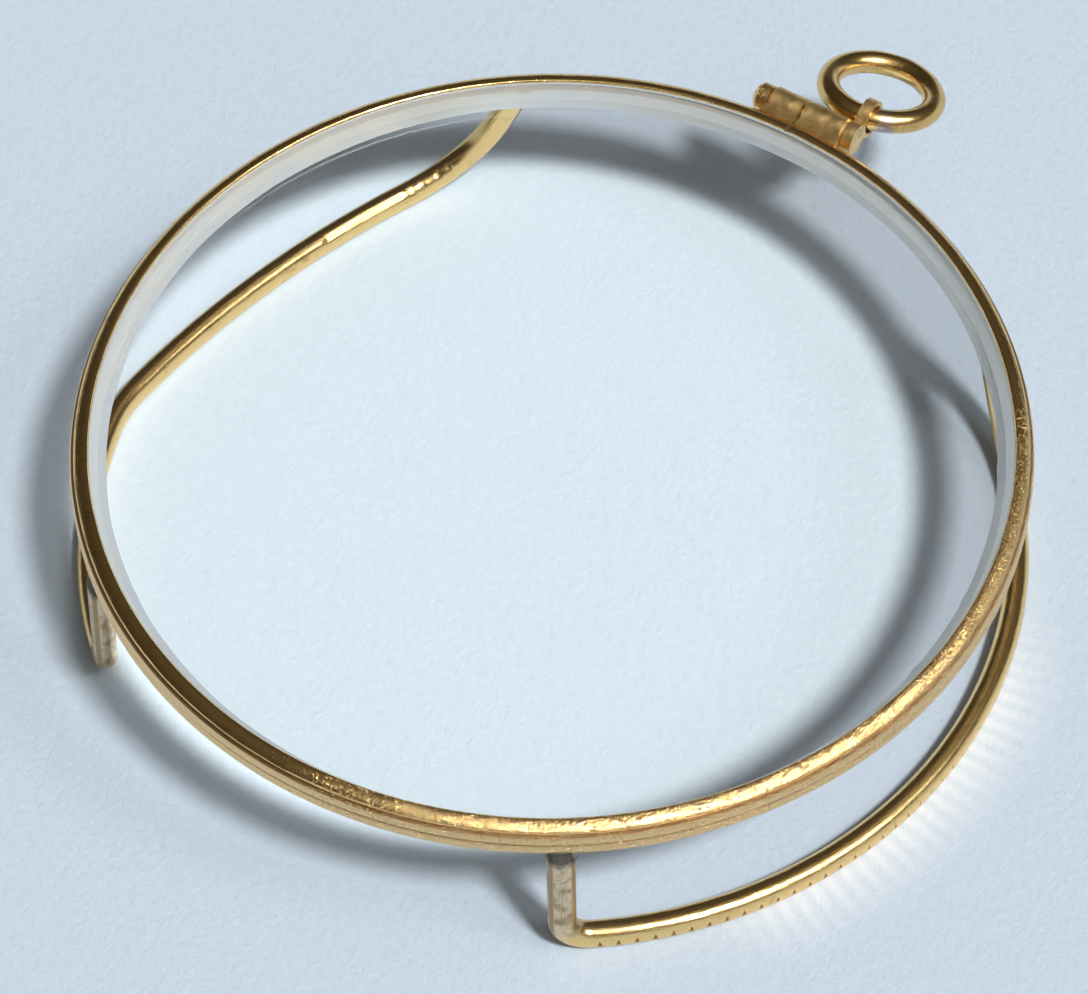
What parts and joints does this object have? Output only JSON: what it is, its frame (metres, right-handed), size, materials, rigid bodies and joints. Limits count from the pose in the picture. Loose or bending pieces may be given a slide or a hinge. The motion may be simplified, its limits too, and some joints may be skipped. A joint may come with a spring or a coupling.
{
  "type": "monocle",
  "caption": "Gallery monocle: round glass lens in a split gold rim with two raised wire galleries, a screwed closing joint and a swinging cord ring.",
  "frame": {"origin": "on the lens axis, in the plane that the two gallery bars rest on", "axes": "+Z along the lens axis from the eye side to the front, +X from the lens axis to the closing joint and cord ring, +Y to the brow gallery's side"},
  "size_m": [0.0473, 0.0404, 0.0088],
  "materials": {
    "gold": "satin rolled gold, worn",
    "tarnished_gold": "dull, tarnished",
    "grey_solder": "dull soft solder",
    "lens_glass": "polished, with ground facets at the edge"
  },
  "bodies": {
    "monocle": {"rim": "gold", "lens": "lens_glass", "head_tube": "tarnished_gold", "thread_tube": "tarnished_gold", "head_solder": "tarnished_gold", "thread_solder": "tarnished_gold", "closing_screw": "gold", "ring_eye": "gold", "brow_gallery": "gold", "cheek_gallery": "gold", "brow_solder": "grey_solder", "cheek_solder": "grey_solder"},
    "ring": {"cord_ring": "gold"}
  },
  "joints": [
    {"name": "cord_ring_swing", "type": "hinge", "parent": "monocle", "child": "ring", "pos_m": [0.02221, -0.00245, 0.00764], "axis": [0, -1, 0], "range_deg": [-94, 128]}
  ]
}
